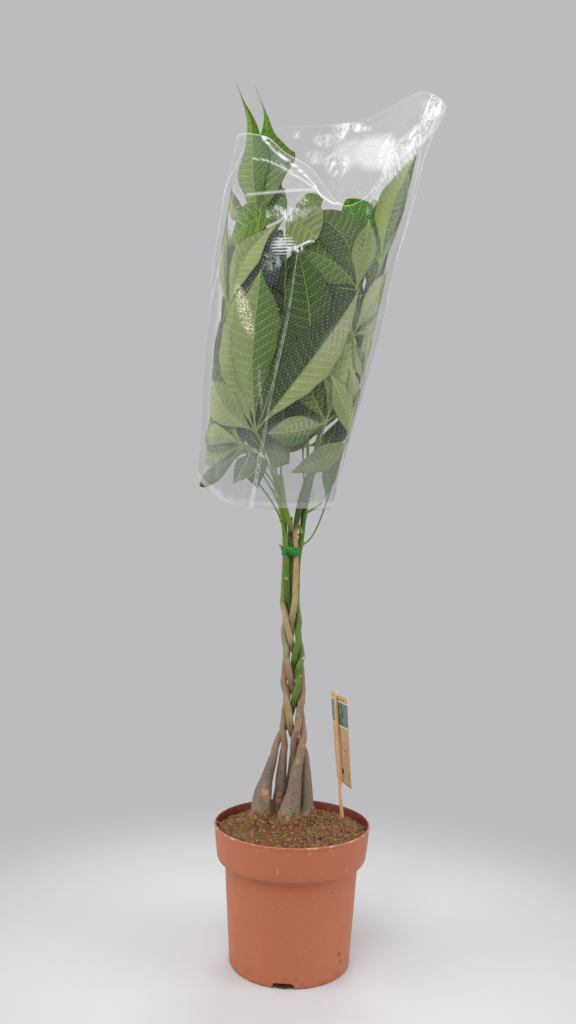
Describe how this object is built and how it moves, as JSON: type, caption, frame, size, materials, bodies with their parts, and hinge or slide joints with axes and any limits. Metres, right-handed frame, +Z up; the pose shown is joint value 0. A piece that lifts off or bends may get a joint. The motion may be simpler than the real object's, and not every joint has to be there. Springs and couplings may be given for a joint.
{
  "type": "potted money tree",
  "caption": "Braided money tree with palmate leaves in a clear film sleeve, planted in a round terracotta-coloured nursery pot with soil and a plain stick label.",
  "frame": {"origin": "on the floor under the middle of the pot, at the middle of the pad in its underside", "axes": "+Z up along the pot's axis, -Y towards the front, where the label shows at the right"},
  "size_m": [0.3382, 0.211, 1.223],
  "materials": {
    "pot": "terracotta-coloured moulded plastic, faint scuffs",
    "soil": "fibrous brown peat with mossy bits",
    "stem": "grey-brown bark below, green skin above",
    "leaf": "thin satin leaf, paler underneath",
    "tie": "shiny green raffia",
    "label_stick": "bare pale wood",
    "label_card": "kraft card with a plain printed leaf pattern",
    "sleeve": "clear perforated film"
  },
  "bodies": {
    "root": {"pot": "pot", "soil": "soil", "stem_1": "stem", "stem_2": "stem", "stem_3": "stem", "stem_4": "stem", "stem_5": "stem", "leaf_01": "leaf", "leaf_02": "leaf", "leaf_03": "leaf", "leaf_04": "leaf", "leaf_05": "leaf", "leaf_06": "leaf", "leaf_07": "leaf", "leaf_08": "leaf", "leaf_09": "leaf", "leaf_10": "leaf", "leaf_11": "leaf", "leaf_12": "leaf", "leaf_13": "leaf", "leaf_14": "leaf", "leaf_15": "leaf", "leaf_16": "leaf", "leaf_17": "leaf", "leaf_18": "leaf", "leaf_19": "leaf", "leaf_20": "leaf", "leaf_21": "leaf", "leaf_22": "leaf", "tie": "tie", "label_stick": "label_stick", "label_card": "label_card", "sleeve": "sleeve"}
  },
  "joints": []
}
